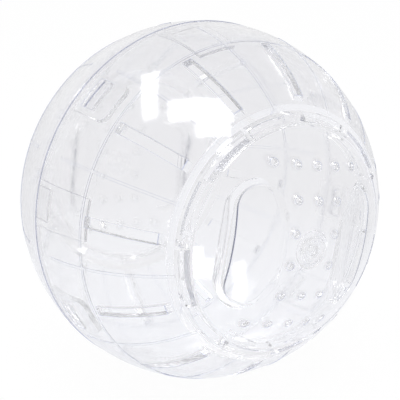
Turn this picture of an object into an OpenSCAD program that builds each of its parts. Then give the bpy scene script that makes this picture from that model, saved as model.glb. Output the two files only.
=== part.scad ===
// Clear exercise ball for a hamster: two half shells that clip together at a seam,
// with a domed twist-off door in each half and a bush in the middle of each door.
// The ball's centre is the origin. Each half is drawn with its pole on +Z and then
// turned, so that the front door faces -Y, the rear door faces +Y and +Z is up.
// Azimuths run round a half from +X, and heights are measured from the seam plane.

/* [Ball] */
// Outer radius of the ball
ball_r = 70; // [66:1:80]
// Thickness of the moulded walls
wall = 2; // [1.8:0.1:2.4]
// Gap between the two halves at the seam
seam_gap = 0.2; // [0.1:0.05:0.4]

/* [Seam] */
// Height of the lip that reaches from the rear half into the front half
lip_h = 1.5; // [1.2:0.1:2]
// Radial clearance between the lip and the front half
lip_clearance = 0.1; // [0.05:0.05:0.2]
// Height of the raised rim at the edge of the rear half
rim_bead_t = 0.25; // [0.1:0.05:0.5]
// Width of the raised rim at the edge of the rear half
rim_bead_w = 2; // [1:0.1:3]

/* [Catches] */
// Number of catches, and of locating pads, around the seam
catch_count = 5; // [3:1:6]
// Width of a catch tongue
catch_w = 15.6; // [13:0.2:18]
// Length of a catch tongue past the seam
catch_len = 18.6; // [16:0.2:22]
// Corner radius at the end of a catch tongue
catch_corner_r = 3.4; // [1:0.2:5]
// Thickness of the tongues
tongue_t = 1.4; // [1:0.1:2]
// Clearance between a tongue and the front half
tongue_clearance = 0.3; // [0.2:0.05:0.5]
// Length of a tongue's root on the rear half's wall
tongue_root = 3; // [2:0.5:5]
// Width of a catch window in the front half
window_w = 11.6; // [8:0.2:13]
// Distance from the seam to the near edge of a window
window_start = 5.8; // [5:0.2:7]
// Distance from the seam to the far edge of a window
window_end = 12.6; // [10:0.2:14]

/* [Locating pads] */
// Width of the pad inside the front half that interrupts the lip
pad_w = 15.8; // [14:0.2:18]
// Height of a pad above the inner wall
pad_t = 0.9; // [0.5:0.1:1.2]
// Width of the rear half's tongue in a pad's notch
locator_w = 11.2; // [8:0.2:12]
// Length of that tongue past the seam
locator_len = 6.4; // [5:0.2:8]

/* [Bands and ribs] */
// Distance from the seam to the bead that runs round each half
band_h = 25.6; // [24:0.2:26]
// Width of the bead
bead_w = 0.8; // [0.5:0.1:1.2]
// Height of the bead above the outer wall
bead_t = 0.2; // [0.1:0.05:0.4]
// Width of a rib
rib_w = 1; // [0.8:0.1:1.6]
// Height of a rib above the outer wall
rib_t = 0.2; // [0.1:0.05:0.4]
// Distance from the seam to the start of a rib
rib_start = 9.8; // [8:0.2:14]
// Distance between a rib's end and the edge of the recess, along the axis
rib_gap = 1.2; // [0.8:0.2:4]

/* [Air slots] */
// Number of air slots, and of ribs, around each half
slot_count = 12; // [8:1:14]
// Width of an air slot
slot_w = 3.75; // [2.5:0.25:5]
// Distance between the bead and the near end of a slot, along the axis
slot_gap = 1.2; // [1:0.2:8]
// Distance between the far end of a slot and the ledge's top, along the axis
slot_end_gap = 1.8; // [1.6:0.2:10]

/* [Door collar] */
// Radius of the recess that takes the door's lugs
recess_r = 43.8; // [43:0.1:44]
// Depth of the recess under the ball's surface, at the recess's wall
recess_depth = 3.4; // [3.2:0.1:3.8]
// Width of the ledge between the recess's wall and the doorway
ledge_w = 5.3; // [4:0.1:8]
// Thickness of the collar's wall round the recess
collar_wall = 2.2; // [1.6:0.1:2.3]
// Thickness of the ledge
ledge_t = 1.5; // [1.2:0.1:1.6]
// Number of bayonet tabs on the collar, and of lugs on the door
tab_count = 6; // [4:1:6]
// Angle that one tab and its stop cover, in degrees
tab_angle = 29; // [26:0.5:29]
// Angle that a tab's stop covers, in degrees
stop_angle = 1.7; // [1:0.1:2.5]

/* [Door] */
// Radial clearance between the door and the collar
door_clearance = 0.3; // [0.2:0.05:0.5]
// Clearance above and below a lug
lug_clearance = 0.2; // [0.1:0.05:0.4]
// Thickness of a lug
lug_t = 1.6; // [1.2:0.1:1.8]
// Distance that a lug stands out from the door's rim
lug_reach = 2.5; // [1.5:0.1:3]
// Angle between a lug's end and the nearest tab, in degrees
lug_free_angle = 1.7; // [1:0.1:2.5]
// Thickness of the door's rim
rim_t = 1.6; // [1.2:0.1:2]
// Angle that the door's pattern is turned by, from upright, in degrees
pattern_turn = -11; // [-15:1:15]

/* [Finger wells] */
// Width of a finger well
well_w = 16.6; // [12:0.2:17]
// Length of a finger well
well_len = 41; // [30:1:42]
// Distance between the door's centre and a well's centre line
well_offset = 20.5; // [20:0.5:22]
// Depth of a well at its outer side
well_depth_outer = 6; // [4:0.2:7]
// Depth of a well at its inner side
well_depth_inner = 1; // [0.6:0.1:2]
// Thickness of the well's walls and floor
well_wall = 1.6; // [1.2:0.1:1.6]

/* [Air holes] */
// Diameter of an air hole in the door
hole_d = 2.8; // [2:0.1:3]
// Distance between neighbouring holes in a row
hole_pitch = 8.65; // [8:0.05:9]
// Distance from the door's centre to the rows beside the bush
row_near = 5.5; // [5:0.1:6.5]
// Distance from the door's centre to the rows of three holes
row_mid = 16.6; // [14:0.1:18]
// Distance between the door's rim and the middle of the rows of five holes
row_far_inset = 13.1; // [12:0.1:15]

/* [Bush] */
// Diameter of the bush's head
head_d = 9; // [8.6:0.1:9.6]
// Thickness of the bush's head
head_t = 1.2; // [1:0.1:1.6]
// Depth of the head's outer face under the ball's radius
head_sink = 0.3; // [0.2:0.1:0.6]
// Diameter of the bush's stem
stem_d = 6; // [5.6:0.1:6.4]
// Length of the stem under the head
stem_len = 2.6; // [2.4:0.1:3.2]
// Diameter of the bush's bore, which takes a stand's pin
bore_d = 4; // [3:0.1:4.4]
// Diameter of the bush's inner flange
flange_d = 7.6; // [7.2:0.1:8.4]
// Thickness of the bush's inner flange
flange_t = 1; // [0.8:0.1:1.2]
// Radial clearance between the stem and the door
stem_clearance = 0.05; // [0.02:0.01:0.1]
// Clearance between the door and the bush's head and flange
head_clearance = 0.15; // [0.1:0.05:0.3]
// Diameter of the boss inside the door that carries the bush
boss_d = 13; // [12:0.5:15]

/* [Hidden] */
$fn = 96;

// Overrun of a cut past the face that it opens
over = 1;
// Depth that two joined solids reach into each other
embed = 0.5;
// Outer limit of a cutting block, clear of the ball
reach = ball_r + wall;
// Radius of the inner wall
inner_r = ball_r - wall;
// Half of the seam gap, which each half gives up
half_gap = seam_gap / 2;
// Radius of the lip's outer face, near the middle of the wall
lip_r = ball_r - wall / 2 - lip_clearance / 2;
// Radius of the rebate that the lip fills in the front half
rebate_r = lip_r + lip_clearance;

// Azimuths, in degrees, of the first air slot, rib, catch, locating pad and tab
slot_az = 21;
rib_az = 6;
catch_az = 63;
pad_az = 27;
tab_az = 113;
// Azimuth of the line in the seam plane that the rear half is turned over about
turn_over_az = 81;
// Angles between neighbouring slots, catches and tabs
slot_step = 360 / slot_count;
catch_step = 360 / catch_count;
tab_step = 360 / tab_count;

// Radius of the doorway
doorway_r = recess_r - ledge_w;
// Heights of the recess's edge on the ball and of the ledge's top
edge_h = sqrt(pow(ball_r, 2) - pow(recess_r, 2));
ledge_h = edge_h - recess_depth;
// Heights at which the ribs and the air slots end
rib_end = edge_h - rib_gap;
slot_start = band_h + slot_gap;
slot_end = ledge_h - slot_end_gap;

// Radius of the tongues' outer face
tongue_r = inner_r - tongue_clearance;
// Distance from the axis at which a catch still slides out past the window's near edge
catch_r = sqrt(pow(inner_r, 2) - pow(window_start, 2)) - tongue_clearance;

// Radius of the door's rim, of the tabs' inner edge and of the lugs
rim_r = recess_r - door_clearance - lug_reach;
tab_r = rim_r + door_clearance;
lug_r = rim_r + lug_reach;
// Distance from the door's centre to the rows of five holes
row_far = rim_r - row_far_inset;
// Height of a lug's underside and of a tab's underside
lug_h = ledge_h + lug_clearance;
tab_h = lug_h + lug_t + lug_clearance;
// Angle that one lug covers
lug_angle = tab_step - tab_angle - 2 * lug_free_angle;

// Height of the bush's outer face, of its head's seat and of its inner end
head_h = ball_r - head_sink;
seat_h = head_h - head_t - head_clearance;
flange_h = head_h - head_t - stem_len;

// Colours of the clear plastic pieces
shell_colour = [0.86, 0.88, 0.92, 0.4];
door_colour = [0.80, 0.84, 0.92, 0.5];
hub_colour = [0.70, 0.76, 0.90, 0.7];

// Angle at the inner wall between a width's middle and its edge
function half_angle(width) = asin(width / 2 / inner_r);

// Azimuth on the rear half that faces an azimuth on the front half
function facing(azimuth) = 2 * turn_over_az - azimuth;

// Turns a piece drawn with its pole on +Z so that the pole faces the front
module to_front() {
    rotate([90, 0, 0]) children();
}

// Turns a piece drawn with its pole on +Z over to the rear half
module to_rear() {
    to_front() rotate(a = 180, v = [cos(turn_over_az), sin(turn_over_az), 0]) children();
}

// Repeats a piece at equal steps of azimuth
module around(first, step, count) {
    for (i = [0 : count - 1]) rotate([0, 0, first + i * step]) children();
}

// Wedge between two azimuths and two heights, from the axis outwards
module sector(from_az, to_az, from_h, to_h) {
    mid_az = (from_az + to_az) / 2;
    far = reach / cos((to_az - from_az) / 2);
    translate([0, 0, from_h]) linear_extrude(to_h - from_h)
        polygon([[0, 0], far * [cos(from_az), sin(from_az)],
                 far * [cos(mid_az), sin(mid_az)], far * [cos(to_az), sin(to_az)]]);
}

// Block that points outwards along +X, from a distance off the axis
module radial_block(from_r, width, from_h, to_h) {
    translate([from_r, -width / 2, from_h]) cube([reach, width, to_h - from_h]);
}

// Slice of a solid ball between two heights
module ball_slice(radius, from_h, to_h) {
    intersection() {
        sphere(r = radius);
        translate([0, 0, from_h]) cylinder(r = reach, h = to_h - from_h);
    }
}

// Solid half ball with the bead and the ribs that stand out from it
module outer_half() {
    ball_slice(ball_r, half_gap, reach);
    ball_slice(ball_r + bead_t, band_h - bead_w / 2, band_h + bead_w / 2);
    intersection() {
        sphere(r = ball_r + rib_t);
        around(rib_az, slot_step, slot_count) radial_block(recess_r, rib_w, rib_start, rib_end);
    }
}

// Solid ring inside the wall that carries the ledge, the recess and the tabs
module collar_block() {
    translate([0, 0, ledge_h - ledge_t]) cylinder(r = recess_r + collar_wall, h = ball_r);
}

// Recess for the door, with the tabs and their stops left standing
module door_recess() {
    difference() {
        translate([0, 0, ledge_h]) cylinder(r = recess_r, h = ball_r);
        around(tab_az, tab_step, tab_count) difference() {
            union() {
                sector(0, tab_angle, tab_h, ball_r + over);
                sector(0, stop_angle, ledge_h - over, ball_r + over);
            }
            cylinder(r = tab_r, h = reach);
        }
    }
}

// Openings that both halves have: the recess, the doorway and the air slots
module half_openings() {
    door_recess();
    cylinder(r = doorway_r, h = reach);
    around(slot_az, slot_step, slot_count)
        radial_block(recess_r + collar_wall, slot_w, slot_start, slot_end);
}

// Sectors of the front half that its locating pads take up, from the axis outwards
module pad_sectors(first, grow, from_h, to_h) {
    pad_angle = half_angle(pad_w + 2 * grow);
    around(first, catch_step, catch_count) sector(-pad_angle, pad_angle, from_h, to_h);
}

// Pads on the inner wall, each with a notch for the rear half's locating tongue
module pads() {
    notch_angle = half_angle(locator_w + 2 * tongue_clearance);
    difference() {
        pad_sectors(pad_az, 0, -over, band_h);
        sphere(r = inner_r - pad_t);
        around(pad_az, catch_step, catch_count)
            sector(-notch_angle, notch_angle, -2 * over, locator_len + tongue_clearance);
    }
}

// Rebate in the front half's wall, which the lip fills between the pads
module lip_rebate() {
    difference() {
        ball_slice(rebate_r, -over, lip_h + seam_gap);
        pad_sectors(pad_az, 0, -2 * over, lip_h + over);
    }
}

// Catch windows through the front half's wall
module windows() {
    window_angle = half_angle(window_w);
    around(catch_az, catch_step, catch_count)
        sector(-window_angle, window_angle, window_start, window_end);
}

module front_shell() {
    color(shell_colour) to_front() difference() {
        outer_half();
        difference() {
            sphere(r = inner_r);
            collar_block();
            pads();
        }
        lip_rebate();
        half_openings();
        windows();
    }
}

// Lip that reaches into the front half, with gaps for the front half's pads
module lip() {
    difference() {
        ball_slice(lip_r, -lip_h, half_gap + over);
        pad_sectors(facing(pad_az), tongue_clearance, -lip_h - over, half_gap);
    }
}

// Wall of a tongue, from the inner side out to a radius
module blade(outer_radius, width, from_h, to_h) {
    difference() {
        intersection() {
            sphere(r = outer_radius);
            radial_block(recess_r, width, from_h, to_h);
        }
        sphere(r = tongue_r - tongue_t);
    }
}

// What rounding takes off one corner of a catch tongue's end
module corner_cut(side) {
    cut = catch_corner_r + over;
    translate([0, side * (catch_w / 2 - catch_corner_r), catch_len - catch_corner_r])
        rotate([0, 90, 0]) linear_extrude(reach) difference() {
            translate([-cut, side < 0 ? -cut : 0]) square(cut);
            circle(r = catch_corner_r);
        }
}

// Catch tongue: a rounded blade behind the lip, and the catch that stands in a window
module catch_tongue() {
    play = 2 * tongue_clearance;
    difference() {
        blade(tongue_r, catch_w, -tongue_root, catch_len);
        for (side = [-1, 1]) corner_cut(side);
    }
    blade(inner_r + embed, catch_w, -tongue_root, lip_h - embed);
    difference() {
        intersection() {
            cylinder(r = catch_r, h = ball_r);
            radial_block(recess_r, window_w - 2 * play, window_start + play, window_end - play);
        }
        sphere(r = tongue_r - embed);
    }
}

// Short tongue that locates the halves in a pad's notch
module locating_tongue() {
    blade(tongue_r, locator_w, -tongue_root, locator_len);
    blade(inner_r + embed, locator_w, -tongue_root, -seam_gap);
}

module rear_shell() {
    color(shell_colour) to_rear() {
        difference() {
            union() {
                outer_half();
                ball_slice(ball_r + rim_bead_t, half_gap, half_gap + rim_bead_w);
                lip();
            }
            difference() {
                sphere(r = inner_r);
                collar_block();
            }
            half_openings();
        }
        // The tongues reach past the seam, into the front half
        mirror([0, 0, 1]) {
            around(facing(catch_az), catch_step, catch_count) catch_tongue();
            around(facing(pad_az), catch_step, catch_count) locating_tongue();
        }
    }
}

// Obround column on the +X side at a well's place, grown by a wall
module well_column(grow) {
    straight = well_len - well_w;
    translate([well_offset, 0, 0]) {
        translate([-well_w / 2 - grow, -straight / 2, 0])
            cube([well_w + 2 * grow, straight, reach]);
        for (end = [-1, 1])
            translate([0, end * straight / 2, 0]) cylinder(r = well_w / 2 + grow, h = reach);
    }
}

// Space above a well's sloping floor, which is deepest at the well's outer side
module above_floor(sink) {
    inner_x = well_offset - well_w / 2;
    outer_x = well_offset + well_w / 2;
    inner_h = sqrt(pow(ball_r, 2) - pow(inner_x, 2)) - well_depth_inner;
    outer_h = sqrt(pow(ball_r, 2) - pow(outer_x, 2)) - well_depth_outer;
    slope = atan2(inner_h - outer_h, well_w);
    translate([outer_x, 0, outer_h]) rotate([0, slope, 0])
        translate([-reach, -reach, -sink]) cube([2 * reach, 2 * reach, reach]);
}

// Both finger wells, or with a wall the blocks that they are sunk into
module wells(grow) {
    for (turn = [0, 180]) rotate([0, 0, turn]) intersection() {
        well_column(grow);
        above_floor(grow);
    }
}

// Row of air holes at the given places across the door
module hole_row(places, row) {
    for (place = places)
        translate([place * hole_pitch, row, doorway_r]) cylinder(d = hole_d, h = reach);
}

// Twenty air holes, in six rows that mirror each other
module air_holes() {
    for (side = [-1, 1]) {
        hole_row([-1, 1], side * row_near);
        hole_row([-1, 0, 1], side * row_mid);
        hole_row([-2, -1, 0, 1, 2], side * row_far);
    }
}

// Domed door with its wells, air holes and seat for the bush, with its pattern upright
module door_body() {
    difference() {
        intersection() {
            sphere(r = ball_r);
            translate([0, 0, lug_h]) cylinder(r = rim_r, h = ball_r);
        }
        difference() {
            intersection() {
                sphere(r = inner_r);
                cylinder(r = rim_r - rim_t, h = ball_r);
            }
            wells(well_wall);
            translate([0, 0, flange_h + flange_t + head_clearance]) cylinder(d = boss_d, h = reach);
        }
        wells(0);
        air_holes();
        cylinder(r = stem_d / 2 + stem_clearance, h = reach);
        translate([0, 0, seat_h]) cylinder(r = head_d / 2 + 2 * head_clearance, h = reach);
    }
}

// Lugs that stand out from the door's rim, midway between the tabs
module lugs() {
    around(tab_az + tab_angle + lug_free_angle, tab_step, tab_count) difference() {
        intersection() {
            translate([0, 0, lug_h]) cylinder(r = lug_r, h = lug_t);
            sector(0, lug_angle, lug_h - over, lug_h + lug_t + over);
        }
        cylinder(r = rim_r - rim_t / 2, h = reach);
    }
}

module door() {
    rotate([0, 0, pattern_turn]) door_body();
    lugs();
}

// Bush held in the door by its head and inner flange, with a bore for a stand's pin
module hub() {
    difference() {
        union() {
            translate([0, 0, head_h - head_t]) cylinder(d = head_d, h = head_t);
            translate([0, 0, flange_h]) cylinder(d = stem_d, h = stem_len + head_t / 2);
            translate([0, 0, flange_h]) cylinder(d = flange_d, h = flange_t);
        }
        translate([0, 0, flange_h - over]) cylinder(d = bore_d, h = reach);
    }
}

module front_door() {
    color(door_colour) to_front() door();
}

module rear_door() {
    color(door_colour) to_rear() door();
}

module front_hub() {
    color(hub_colour) to_front() hub();
}

module rear_hub() {
    color(hub_colour) to_rear() hub();
}

front_shell();
rear_shell();
front_door();
rear_door();
front_hub();
rear_hub();
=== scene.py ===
"""A clear hamster ball on a white floor: its two half shells, doors and bushes, their plastic and the studio.

The ball's centre is the origin, the front door faces -Y and +Z is up. The pieces are worked out in
millimetres, as a half whose pole is on +Z, and are then turned to the front or the rear and put in metres.
"""

import math

import bmesh
import bpy
import numpy as np
from mathutils import Matrix, Vector
from mathutils.geometry import delaunay_2d_cdt


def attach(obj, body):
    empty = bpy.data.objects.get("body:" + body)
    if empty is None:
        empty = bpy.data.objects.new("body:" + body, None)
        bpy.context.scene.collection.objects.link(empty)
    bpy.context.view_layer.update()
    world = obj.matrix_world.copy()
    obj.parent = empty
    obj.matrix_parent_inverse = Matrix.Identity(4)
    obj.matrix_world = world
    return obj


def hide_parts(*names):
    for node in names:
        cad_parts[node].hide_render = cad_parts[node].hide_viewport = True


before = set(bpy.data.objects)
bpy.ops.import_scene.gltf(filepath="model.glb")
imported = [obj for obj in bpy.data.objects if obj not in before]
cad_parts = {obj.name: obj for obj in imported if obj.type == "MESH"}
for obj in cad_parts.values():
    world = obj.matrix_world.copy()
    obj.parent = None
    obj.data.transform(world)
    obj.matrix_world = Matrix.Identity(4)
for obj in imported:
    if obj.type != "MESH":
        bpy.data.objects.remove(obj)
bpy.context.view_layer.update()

# Ball: a millimetre in metres, and the radius of the outer walls in millimetres
MM = 0.001
BALL_R = 70.0

# Camera: the photograph's view of the ball. Angles are in degrees and distances in metres, and names that
# end in PX are places and lengths in the photograph's pixels
CAMERA_AZIMUTH = -33.4
CAMERA_ELEVATION = 17.3
CAMERA_DISTANCE = 0.35
CLIP_START = 0.01
SENSOR_MM = 36.0
PHOTO_PX = 400
FOCAL_PX = 876.9
BALL_CENTRE_PX = (200.0, 199.3)


def looking_along(azimuth, elevation):
    """Unit vector from the ball's centre towards a viewer at an azimuth and an elevation, in degrees."""
    a, e = math.radians(azimuth), math.radians(elevation)
    return Vector((math.sin(a) * math.cos(e), -math.cos(a) * math.cos(e), math.sin(e)))


def make_camera():
    """Camera at the photograph's place, aimed at the ball's centre."""
    data = bpy.data.cameras.new("camera")
    data.sensor_width = SENSOR_MM
    data.lens = FOCAL_PX / PHOTO_PX * SENSOR_MM
    data.shift_y = (BALL_CENTRE_PX[1] - PHOTO_PX / 2) / PHOTO_PX
    data.clip_start = CLIP_START
    camera = bpy.data.objects.new("camera", data)
    bpy.context.collection.objects.link(camera)
    outward = looking_along(CAMERA_AZIMUTH, CAMERA_ELEVATION)
    camera.location = outward * CAMERA_DISTANCE
    camera.rotation_euler = outward.to_track_quat("Z", "Y").to_euler()
    bpy.context.scene.camera = camera
    return camera


camera = make_camera()


def photo_ray(px, py):
    """Direction in which the camera sees a pixel of the photograph."""
    turn = camera.rotation_euler.to_matrix()
    x = (px - BALL_CENTRE_PX[0]) / FOCAL_PX
    y = (BALL_CENTRE_PX[1] - py) / FOCAL_PX
    return (turn @ Vector((x, y, -1.0))).normalized()


def mirrored(px, py):
    """Point of the ball's outer wall seen at a pixel, and the direction that it mirrors to the camera."""
    ray = photo_ray(px, py)
    origin = Vector(camera.location)
    b = origin.dot(ray)
    reach = -b - math.sqrt(b * b - origin.length_squared + (BALL_R * MM) ** 2)
    point = origin + reach * ray
    normal = point.normalized()
    return point, ray - 2 * ray.dot(normal) * normal


# Materials

PLASTIC_IOR = 1.48
# Haze, as roughness, and strength of the ripples of each piece's plastic
SHELL_HAZE = 0.065
SHELL_RIPPLE = 0.03
DOOR_HAZE = 0.06
DOOR_RIPPLE = 0.03
HUB_HAZE = 0.04
HUB_RIPPLE = 0.02
# Tint that light takes where it goes through an open wall, and the painted shade that darkens an edge
WALL_TINT = (0.996, 0.996, 0.998)
EDGE_SHADE_TINT = (0.30, 0.35, 0.58)
# Reach, inside the plastic, over which an edge gets painted shade, and the shares of open space
# inside an edge and inside an open wall, as the ambient occlusion node gives them
EDGE_REACH = 0.00035
EDGE_OPEN = 0.5
WALL_OPEN = 1.0
# Where edges have their full painted shade: on the door between the boss and the rim, and on the shell
# outside the collar, given by distances from the axis over which it starts and ends, and close to the outer
# wall, given by distances from the ball's centre over which it starts. Other edges are as pale as open walls
DOOR_EDGE_RING = (0.0060, 0.0070, 0.0355, 0.0365)
SHELL_EDGE_START = (0.0465, 0.0475)
EDGE_DEPTH = (0.0691, 0.0695)
# Painted shade on the edges of the pads inside the front half: its tint, and the distances from the ball's
# centre and from the joint over which it ends
PAD_EDGE_SHADE_TINT = (0.03, 0.04, 0.10)
PAD_EDGE_DEPTH = (0.0681, 0.0684)
PAD_EDGE_END = (0.0240, 0.0245)
# Painted shade lines along a finger well's wall and in the air holes: their tint and the attribute with their
# strength
SHADE_LINE_TINT = (0.06, 0.065, 0.11)
SHADE_LINE_NAME = "line"
# Joint between the halves, the plane y = 0, a dark line of dirt and painted shade in its gap: its tint, its
# half width, the share of that in full tint, and the distances from the ball's centre over which the tint
# starts to fill all that lies deeper
JOINT_TINT = (0.36, 0.38, 0.52)
JOINT_HALF = 0.00025
JOINT_CORE = 0.6
JOINT_DEPTH = (0.0694, 0.0697)
# Collar, its tabs and the door's lugs, which are polished: the distances from the axis over which that starts
# and ends, and the share of the haze that is left
COLLAR_RING = (0.0360, 0.0370, 0.0460, 0.0470)
COLLAR_HAZE = 0.2
# Noise patterns in waves per metre: flow ripples, their depth in metres, and scuffs, with the noise levels
# over which the haze goes from its own value to its gain times that
FLOW_SCALE = 34.0
FLOW_DETAIL = 2.0
FLOW_DISTORTION = 0.6
RIPPLE_DEPTH = 0.001
SCUFF_SCALE = 260.0
SCUFF_DETAIL = 5.0
SCUFF_LEVELS = (0.45, 0.80)
SCUFF_GAIN = 2.5


def node_maker(nodes):
    """Function that adds a node and sets its inputs by name."""
    def add(kind, **inputs):
        node = nodes.new(kind)
        for name, value in inputs.items():
            node.inputs[name.replace("_", " ")].default_value = value
        return node
    return add


def worked_out(tree, operation, first, second=None):
    """Socket with a sum, a product or the like of one or two sockets or numbers."""
    node = tree.nodes.new("ShaderNodeMath")
    node.operation = operation
    for socket, value in zip(node.inputs, (first, second)):
        if isinstance(value, bpy.types.NodeSocket):
            tree.links.new(value, socket)
        elif value is not None:
            socket.default_value = value
    return node.outputs[0]


def spread(tree, value, low, high, at_low=0.0, at_high=1.0):
    """Socket that goes evenly from at_low to at_high as a value goes from low to high, and stays there."""
    add = node_maker(tree.nodes)
    node = add("ShaderNodeMapRange", From_Min=low, From_Max=high, To_Min=at_low, To_Max=at_high)
    tree.links.new(value, node.inputs["Value"])
    return node.outputs["Result"]


def within(tree, value, ring):
    """Socket that is 1 while a value is between the two inner numbers of a ring, and 0 outside the others."""
    start, full, last, end = ring
    return worked_out(tree, "MULTIPLY", spread(tree, value, start, full),
                      spread(tree, value, last, end, 1.0, 0.0))


def length_of(tree, vector):
    """Socket with the length of a vector socket."""
    node = tree.nodes.new("ShaderNodeVectorMath")
    node.operation = "LENGTH"
    tree.links.new(vector, node.inputs[0])
    return node.outputs["Value"]


def blended(tree, share, low, high):
    """Colour socket: low where the share is 0 and high where it is 1. Each is a colour or a socket.

    Inputs 6 and 7 and output 2 are the Mix node's colour sockets."""
    node = tree.nodes.new("ShaderNodeMix")
    node.data_type = "RGBA"
    tree.links.new(share, node.inputs["Factor"])
    for socket, colour in ((node.inputs[6], low), (node.inputs[7], high)):
        if isinstance(colour, bpy.types.NodeSocket):
            tree.links.new(colour, socket)
        else:
            socket.default_value = (*colour, 1.0)
    return node.outputs[2]


def clear_plastic(name, haze, ripple, inner_edge_shade_tint=WALL_TINT):
    """Clear moulded plastic that bends light and is slightly hazy, so that what lies far behind it blurs.

    It has painted shade at its edges and along a piece's lines, and a dark line of dirt and painted shade in
    the joint between the halves. Flow ripples bend its surface a little and scuffs make it hazier in places."""
    material = bpy.data.materials.new(name)
    material.use_nodes = True
    tree = material.node_tree
    add = node_maker(tree.nodes)
    shader = tree.nodes["Principled BSDF"]
    shader.inputs["Transmission Weight"].default_value = 1.0
    shader.inputs["IOR"].default_value = PLASTIC_IOR

    # Distances from the axis, from the ball's centre and from the joint
    place = add("ShaderNodeTexCoord").outputs["Object"]
    axes = add("ShaderNodeSeparateXYZ")
    tree.links.new(place, axes.inputs[0])
    squares = [worked_out(tree, "POWER", axes.outputs[axis], 2.0) for axis in "XZ"]
    off_axis = worked_out(tree, "SQRT", worked_out(tree, "ADD", *squares))
    off_centre = length_of(tree, place)
    off_joint = worked_out(tree, "ABSOLUTE", axes.outputs["Y"])

    # Colour: walls with their painted shade lines, then painted shade at the edges, then the joint's dark
    # line of dirt and painted shade
    edges = add("ShaderNodeAmbientOcclusion", Distance=EDGE_REACH)
    edges.inside = True
    edges.only_local = True
    edges.samples = 1
    edge_shade_share = worked_out(tree, "ADD", within(tree, off_axis, DOOR_EDGE_RING),
                       spread(tree, off_axis, *SHELL_EDGE_START))
    edge_shade_share = worked_out(tree, "MULTIPLY", edge_shade_share, spread(tree, off_centre, *EDGE_DEPTH))
    pads = worked_out(tree, "MULTIPLY", spread(tree, off_centre, *PAD_EDGE_DEPTH, 1.0, 0.0),
                      spread(tree, off_joint, *PAD_EDGE_END, 1.0, 0.0))
    edge = blended(tree, pads, blended(tree, edge_shade_share, WALL_TINT, EDGE_SHADE_TINT), inner_edge_shade_tint)
    line = add("ShaderNodeAttribute")
    line.attribute_name = SHADE_LINE_NAME
    wall = blended(tree, line.outputs["Fac"], WALL_TINT, SHADE_LINE_TINT)
    body = blended(tree, spread(tree, edges.outputs["AO"], EDGE_OPEN, WALL_OPEN), edge, wall)
    joint = worked_out(tree, "MAXIMUM", spread(tree, off_joint, JOINT_HALF * JOINT_CORE, JOINT_HALF),
                       spread(tree, off_centre, *JOINT_DEPTH, 1.0, 0.0))
    tree.links.new(blended(tree, joint, JOINT_TINT, body), shader.inputs["Base Color"])

    # Ripples and haze
    flow = add("ShaderNodeTexNoise", Scale=FLOW_SCALE, Detail=FLOW_DETAIL, Distortion=FLOW_DISTORTION)
    scuffs = add("ShaderNodeTexNoise", Scale=SCUFF_SCALE, Detail=SCUFF_DETAIL)
    tree.links.new(place, flow.inputs["Vector"])
    tree.links.new(place, scuffs.inputs["Vector"])
    bump = add("ShaderNodeBump", Strength=ripple, Distance=RIPPLE_DEPTH)
    tree.links.new(flow.outputs["Fac"], bump.inputs["Height"])
    tree.links.new(bump.outputs["Normal"], shader.inputs["Normal"])
    rough = spread(tree, scuffs.outputs["Fac"], *SCUFF_LEVELS, haze, haze * SCUFF_GAIN)
    left = spread(tree, within(tree, off_axis, COLLAR_RING), 0.0, 1.0, 1.0, COLLAR_HAZE)
    tree.links.new(worked_out(tree, "MULTIPLY", rough, left), shader.inputs["Roughness"])
    return material


front_shell_plastic = clear_plastic("front_shell_plastic", SHELL_HAZE, SHELL_RIPPLE, PAD_EDGE_SHADE_TINT)
rear_shell_plastic = clear_plastic("rear_shell_plastic", SHELL_HAZE, SHELL_RIPPLE)
door_plastic = clear_plastic("door_plastic", DOOR_HAZE, DOOR_RIPPLE)
hub_plastic = clear_plastic("hub_plastic", HUB_HAZE, HUB_RIPPLE)


# Pieces

# The ball's sizes, in millimetres, as the construction has them. A name in R is a distance from the axis or,
# in the wall, from the ball's centre, one in H, START or END a distance from the seam's plane, and one in
# HALF half a width
INNER_R = 68.0
HALF_GAP = 0.1
LIP_R = 68.95
LIP_END = 1.5
REBATE_R = 69.05
REBATE_END = 1.7
MIDDLE_R = 69.5
RIM_BEAD_R = 70.23
RIM_BEAD_END = 2.1
BAND_R = 70.2
BAND_START = 25.2
BAND_MIDDLE = 25.6
BAND_END = 26.0
PAD_R = 67.1
PAD_HALF = 7.9
PAD_GAP_HALF = 8.2
NOTCH_HALF = 5.9
NOTCH_END = 6.7
WINDOW_HALF = 5.8
WINDOW_START = 5.8
WINDOW_END = 12.6
TONGUE_R = 67.7
TONGUE_INNER_R = 66.3
TONGUE_ROOT = 3.0
CATCH_TONGUE_HALF = 7.8
CATCH_TONGUE_END = 18.6
CATCH_ROUND = 3.4
CATCH_ROOT_END = 1.0
CATCH_HALF = 5.2
CATCH_START = 6.4
CATCH_END = 12.0
CATCH_CLEARANCE = 0.3
CATCH_R = math.sqrt(INNER_R ** 2 - WINDOW_START ** 2) - CATCH_CLEARANCE
LOCATOR_HALF = 5.6
LOCATOR_END = 6.4
LOCATOR_ROOT_END = 0.2
RIB_HALF = 0.5
RIB_START = 9.8
SLOT_HALF = 1.875
COLLAR_R = 46.0
RECESS_R = 43.8
TAB_R = 41.3
DOORWAY_R = 38.5
RIM_R = 41.0
SKIRT_R = 39.4
LUG_R = 43.5
RECESS_DEPTH = 3.4
LEDGE_THICKNESS = 1.5
LUG_THICKNESS = 1.6
LUG_CLEARANCE = 0.2
EDGE_H = math.sqrt(BALL_R ** 2 - RECESS_R ** 2)
LEDGE_H = EDGE_H - RECESS_DEPTH
COLLAR_H = LEDGE_H - LEDGE_THICKNESS
LUG_H = LEDGE_H + LUG_CLEARANCE
LUG_TOP_H = LUG_H + LUG_THICKNESS
TAB_H = LUG_TOP_H + LUG_CLEARANCE
SLOT_START_INSET = 1.2
SLOT_END_INSET = 1.8
RIB_END_INSET = 1.2
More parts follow.
